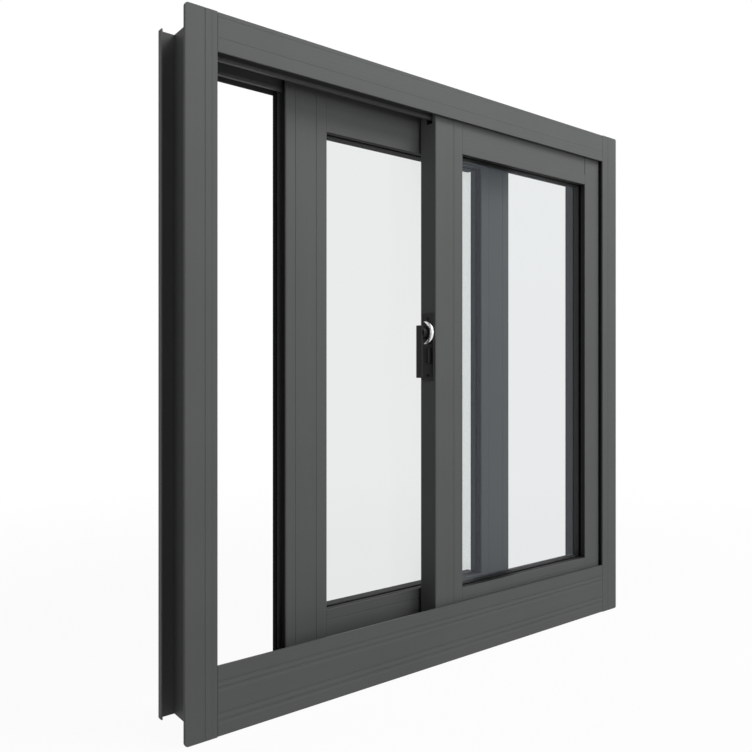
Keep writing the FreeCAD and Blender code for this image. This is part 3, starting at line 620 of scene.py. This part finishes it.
meet_y = (CRESCENT_RADIUS**2 - HOLLOW_RADIUS**2 + HOLLOW_OFFSET**2) / (2 * HOLLOW_OFFSET)
meet_z = math.sqrt(CRESCENT_RADIUS**2 - meet_y**2)
outer_turn = CRESCENT_REACH * math.atan2(meet_z, -meet_y)
inner_turn = CRESCENT_REACH * math.atan2(meet_z, HOLLOW_OFFSET - meet_y)
crescent = bmesh.new()
rings = []
for station in range(CRESCENT_STATIONS + 1):
    share = 1.0 - 2.0 * station / CRESCENT_STATIONS
    rings.append(add_crescent_ring(
        crescent, on_circle(CRESCENT_RADIUS, 0.0, share * outer_turn),
        on_circle(HOLLOW_RADIUS, HOLLOW_OFFSET, share * inner_turn),
        cam_low.x - CRESCENT_PROUD, cam_high.x, station in (0, CRESCENT_STATIONS)))
for ring, following in zip(rings, rings[1:]):
    bmesh.ops.bridge_loops(crescent, edges=list(ring | following))
crescent_piece = make_piece("latch_crescent", crescent, cam_metal, "latch")
for polygon in crescent_piece.data.polygons:
    polygon.use_smooth = len(polygon.vertices) == 4
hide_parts("latch_cam")
eye = bmesh.new()
add_disc(eye, EYE_RADIUS, cam_low.x - EYE_PROUD, cam_high.x, BOSS_ROUNDING)
make_piece("latch_eye", eye, latch_black, "latch")


# Studio: the camera stands level, and the horizon is a few pixels off the middle of the image
CAMERA_SPOT = (-0.9066, -1.0038, 0.5033)
CAMERA_TURN = -38.04
CAMERA_LENS = 36.0
SENSOR_WIDTH = 36.0
IMAGE_SIZE = 752.0
HORIZON_PIXELS = -4.0
camera_data = bpy.data.cameras.new("camera")
camera_data.sensor_width = SENSOR_WIDTH
camera_data.lens = CAMERA_LENS
camera_data.shift_y = HORIZON_PIXELS / IMAGE_SIZE
camera = bpy.data.objects.new("camera", camera_data)
camera.location = CAMERA_SPOT
camera.rotation_euler = (math.radians(90.0), 0.0, math.radians(CAMERA_TURN))
bpy.context.scene.collection.objects.link(camera)
bpy.context.scene.camera = camera


def seen_directly(finish):
    """1 for rays from the camera and those that glass or gloss passes on, else 0."""
    path = finish.tree.nodes.new("ShaderNodeLightPath")
    kinds = [Value(finish, path.outputs[f"Is {kind} Ray"]) for kind in ("Camera", "Glossy", "Transmission")]
    total = kinds[0] + kinds[1] + kinds[2]
    return finish.node("ShaderNodeMath", {"operation": "MINIMUM"}, {0: total, 1: 1.0})


FLOOR_GLOW = 0.34
FLOOR_WHITE = 0.95
FLOOR_SHADOW_REACH = 0.9
FLOOR_CLEAR_REACH = 2.2
FLOOR_HALF = 40.0
FLOOR_DROP = 0.5 * MM
floor_mesh = bmesh.new()
bmesh.ops.create_grid(floor_mesh, x_segments=1, y_segments=1, size=FLOOR_HALF)
floor_data = bpy.data.meshes.new("floor")
floor_mesh.to_mesh(floor_data)
floor_mesh.free()
floor = bpy.data.objects.new("floor", floor_data)
floor.location.z = -FLOOR_DROP
bpy.context.scene.collection.objects.link(floor)
floor_finish = Finish("floor_white")
bounce = floor_finish.node("ShaderNodeEmission", None, {"Color": WHITE, "Strength": FLOOR_GLOW})
lit = floor_finish.node("ShaderNodeBsdfDiffuse", None, {"Color": WHITE})
glow = floor_finish.node("ShaderNodeEmission", None, {"Color": WHITE, "Strength": 1.0})
reach = floor_finish.node(
    "ShaderNodeVectorMath", {"operation": "LENGTH"}, {0: floor_finish.place}, "Value")
whiteness = floor_finish.node("ShaderNodeMapRange", None, {
    "Value": reach, "From Min": FLOOR_SHADOW_REACH, "From Max": FLOOR_CLEAR_REACH,
    "To Min": FLOOR_WHITE, "To Max": 1.0})
seen = floor_finish.node("ShaderNodeMixShader", None, {0: whiteness, 1: lit, 2: glow})
floor_data.materials.append(floor_finish.show(floor_finish.node(
    "ShaderNodeMixShader", None, {0: seen_directly(floor_finish), 1: bounce, 2: seen})))

WORLD_LIGHT = 0.01
world = bpy.data.worlds.new("studio")
bpy.context.scene.world = world
world.use_nodes = True


class Backdrop(Finish):
    """The world's nodes, made the same way as a material's."""

    def __init__(self, tree):
        self.tree = tree
        self.tree.nodes.clear()


backdrop = Backdrop(world.node_tree)
ambient = backdrop.node("ShaderNodeBackground", None, {"Color": WHITE, "Strength": WORLD_LIGHT})
white = backdrop.node("ShaderNodeBackground", None, {"Color": WHITE, "Strength": 1.0})
sky = backdrop.node("ShaderNodeMixShader", None, {0: seen_directly(backdrop), 1: ambient, 2: white})
world_output = world.node_tree.nodes.new("ShaderNodeOutputWorld")
world.node_tree.links.new(sky.socket, world_output.inputs["Surface"])


def add_softbox(name, spot, aim, width, height, watts):
    """A rectangular lamp that shines from spot towards aim."""
    data = bpy.data.lights.new(name, "AREA")
    data.shape = "RECTANGLE"
    data.size = width
    data.size_y = height
    data.energy = watts
    lamp = bpy.data.objects.new(name, data)
    lamp.location = spot
    lamp.rotation_euler = (Vector(aim) - Vector(spot)).to_track_quat("-Z", "Y").to_euler()
    bpy.context.scene.collection.objects.link(lamp)


# Each lamp's name, place and aim, its width and height, and its watts
LAMPS = (
    ("key_softbox", (1.0, -1.5, 2.4), (0.2, 0.0, 0.7), 1.6, 1.2, 41.0),
    ("front_softbox", (0.0, -3.2, 1.2), (0.0, 0.0, 0.5), 3.0, 1.8, 38.0),
    ("left_softbox", (-2.6, -0.9, 1.3), (0.0, 0.0, 0.5), 1.6, 1.8, 4.8),
    ("back_softbox", (2.0, 2.2, 1.7), (0.0, 0.0, 0.5), 2.0, 1.4, 18.0),
)
for name, spot, aim, width, height, watts in LAMPS:
    add_softbox(name, spot, aim, width, height, watts)

bpy.context.scene.view_settings.view_transform = "Standard"
